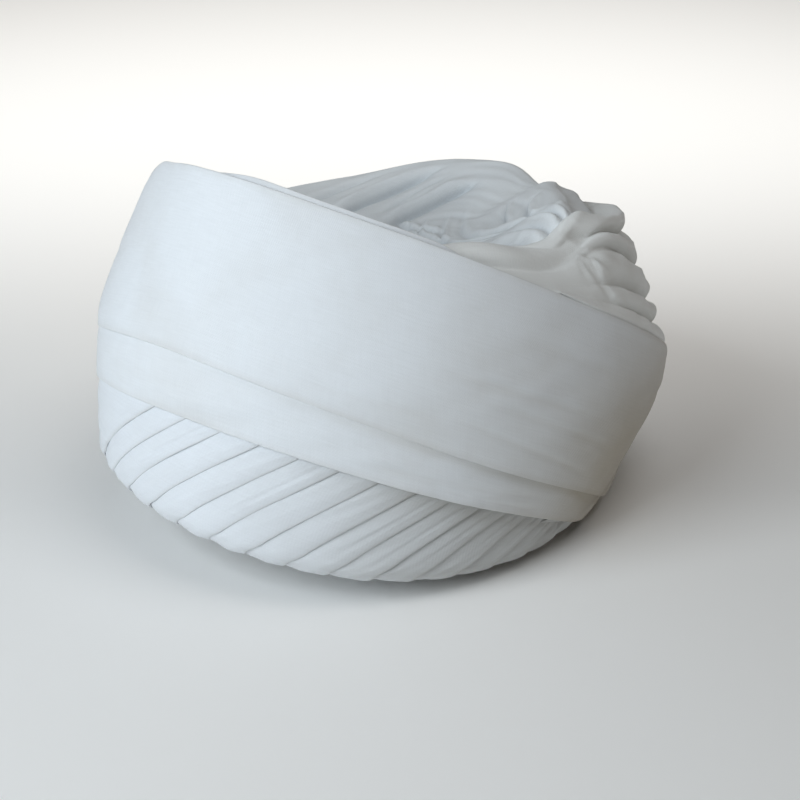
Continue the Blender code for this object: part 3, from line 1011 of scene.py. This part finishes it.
# %% Crown cloth
CROWN_FULL = np.arange(420) * 2 * np.pi / 420 - np.pi
start = crease_place(CROWN_FULL, 5)[:, None] - 0.030
step = np.arange(104) / 103
place = start + (2 - start) * (0.45 * step + 0.55 * step ** 1.6)
q = np.clip((place - start - 0.03) / 0.17, -0.3, 1)
valley = crease_depth(CROWN_FULL, 5)[:, None] * (1 - q) ** 3 * np.where(q < 0, 1.6, 1.0)
sink = rim_sink(CROWN_FULL)[:, None] * (1 - 0.8 * blend((place - 1.0) / 0.5))
face = crown_surface(CROWN_FULL, place)
marks = crown_marks(face, place) + 0.5 * fan(CROWN_FULL[:, None], place) * blend(q / 0.3)
face = face + slopes(face, True) * (marks - valley)[..., None]
face = face + sink[..., None] * inward(CROWN_FULL)
row = np.arange(face.shape[1])
half = CROWN_CLOTH / 2 * np.sqrt(1 - (1 - np.clip(row / 3, 0, 1)) ** 2) + 0 * marks
# Painted shade: darker in the valleys of the folds and wrinkles, and toward the middle of the
# hollow.
wear_and_shade = np.clip(0.15 - 260 * np.minimum(marks, 0) + 0.4 * hill(place - 2, 0.5), 0, 1)
crown = sheet_piece("crown_cloth_crumpled", face, half, CROWN_CLOTH / 2, wear_and_shade, (0.60, 0.13),
                    True, "crown_cloth", ["crown_cloth"])
print("crown, square metres:", declare(crown, (0.26, 0.28)))

# %% [markdown]
# ## The wound body
# Under the outer layers the rest of the strip is wound turn on turn round the head. It
# shows only from below: the edges of the turns as fine ridges under the rim, and the lined
# hollow for the head. It is one closed surface from the middle of the crown, down the
# outside, round the foot and up to the ceiling of the hollow.

# %% Wound body
CORE_DEPTH = 0.0085
RIDGE, RIDGE_HEIGHT = 0.0034, 0.00022        # the edges of the turns, seen from below
ROWS = 6                   # rows of the skin between two rows of the outline
HEAD_HALF_WIDTH, HEAD_HALF_LENGTH = 0.080, 0.098
HEAD_STRAIGHT, HEAD_RISE = 0.020, 0.093


def body_share(phi, z):
    """Outside of the body: under the wraps, and further in behind the rolls."""
    folded = blend((np.cos(phi - 177 * DEG) + 0.46) / 0.10)
    behind = folded * blend((z - fold_span(phi)[0] + 0.019) / 0.008)
    wraps = girth(phi, z) - CORE_DEPTH / HALF_WIDTH
    folds = fold_line(phi, z) - (0.0138 + rim_sink(phi)) / HALF_WIDTH
    return wraps + (np.minimum(folds, wraps) - wraps) * behind


def body_outside(phi):
    """Rows of the outside from the lower edge up to the lip under the crown."""
    knee = rim(phi) + TURN
    rows = [wall(phi, knee - TURN * turn, -CORE_DEPTH) for turn in (np.pi / 2, 1.05, 0.5, 0.0)]
    top = crown_rim(phi) - 0.0100 - 0.7 * rim_sink(phi)
    under = fold_span(phi)[0] - 0.020
    behind = under + 0.010
    for z in ((knee + under) / 2, under, behind, (behind + top) / 2, top):
        rows.append(ring(phi, body_share(phi, z), 0, z))
    lip = np.minimum(crown_share(phi) + (0.0040 - 0.85 * rim_sink(phi)) / HALF_WIDTH,
                     body_share(phi, top) - 0.0024 / HALF_WIDTH)
    rows.append(ring(phi, lip, 0, top + 0.0012))
    return np.stack(rows, 1)


def under_crown(phi):
    """Rows of the upper side from the rim to the middle, just under the crown cloth."""
    rows = [ring(phi, crown_share(phi), out, crown_rim(phi) + up - 0.004)
            for out, up in ((0.0030, -0.0030), (-0.0034, -0.0030))]
    for share, above in DISH_ROWS:
        z = DISH_FLOOR + (crown_rim(phi) - DISH_FLOOR) * above - CROWN_CLOTH
        z = z - 0.0036 - 0.0022 * (share > 0.2)
        rows.append(ring(phi, crown_share(phi) * share, 0, z))
    moved = rim_sink(phi)[:, None, None] * inward(phi)
    return np.stack(rows, 1) + moved * np.array([1, 1, 0.6, 0.2, 0.2, 0.0])[:, None]


def body_inside(phi):
    """Rows of the head hollow from its mouth to its ceiling: an oval dome."""
    foot = rim(phi) + CORE_DEPTH
    rows = [np.stack([(HEAD_HALF_WIDTH + 0.0005) * np.sin(phi),
                      -(HEAD_HALF_LENGTH + 0.0005) * np.cos(phi), foot], -1)]
    for angle in np.array([0, 30, 55, 75, 90]) * DEG:
        size = np.cos(angle) ** 0.87 if angle < 1.57 else 0.0
        rows.append(np.stack([HEAD_HALF_WIDTH * size * np.sin(phi),
                              -HEAD_HALF_LENGTH * size * np.cos(phi),
                              HEAD_STRAIGHT + HEAD_RISE * np.sin(angle) ** 0.87 + 0 * phi], -1))
    return np.stack(rows, 1)


BODY_FULL = np.arange(240) * 2 * np.pi / 240 - np.pi
upper = under_crown(BODY_FULL)
outside = body_outside(BODY_FULL)
path = np.concatenate([upper[:, ::-1], outside[:, ::-1], body_inside(BODY_FULL)], 1)
skin = smooth_rows(path, ROWS)
radius = np.hypot(skin[..., 0], skin[..., 1])
row_number = np.arange(skin.shape[1])[None, :] / ROWS
low_part = blend((row_number - 13) / 2) * blend((22 - row_number) / 1.5)
turns = np.sin(2 * np.pi * (radius - 0.6 * skin[..., 2]) / RIDGE + BODY_FULL[:, None])
lining = ripples(3 * BODY_FULL[:, None], skin[..., 2] + 0.4 * radius, 0.02, 31)
relief = low_part * RIDGE_HEIGHT * turns + (row_number > 17) * 0.00035 * lining
skin = skin - slopes(skin, True) * relief[..., None]
numbers, places = grid_faces(*skin.shape[:2], True)
# Painted shade from the relief: the colour goes darker where the relief of the turns and the
# lining is below zero.
mesh = add_mesh("inner_wraps_cloth", skin.reshape(-1, 3), numbers,
                places * np.array([0.75, 0.45]) / skin.shape[:2],
                np.clip(0.25 - 900 * np.minimum(relief, 0), 0, 1))
body = finish_piece("inner_wraps_cloth", mesh, "inner_cloth", ["inner_wraps"])
print("wound body faces:", len(mesh.polygons))

# %% [markdown]
# ## Floor
# The turban stands on a plain pale floor, big enough to fill the picture. It is dull, so
# that it gives back soft light and no mirror image.

# %% Floor
low = min(corner[2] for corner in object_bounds()) - 0.0004
side = 7.0
corners = [(-side, -side, low), (side, -side, low), (side, side, low), (-side, side, low)]
mesh = bpy.data.meshes.new("floor")
mesh.from_pydata(corners, [], [(0, 1, 2, 3)])
floor = bpy.data.objects.new("floor", mesh)
bpy.context.scene.collection.objects.link(floor)
paint = bpy.data.materials.new("floor_paint")
paint.use_nodes = True
coat = paint.node_tree.nodes["Principled BSDF"]
coat.inputs["Base Color"].default_value = (0.95, 0.945, 0.93, 1)
coat.inputs["Roughness"].default_value = 0.9
mesh.materials.append(paint)
floor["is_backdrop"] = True
print("floor at", round(low, 4))
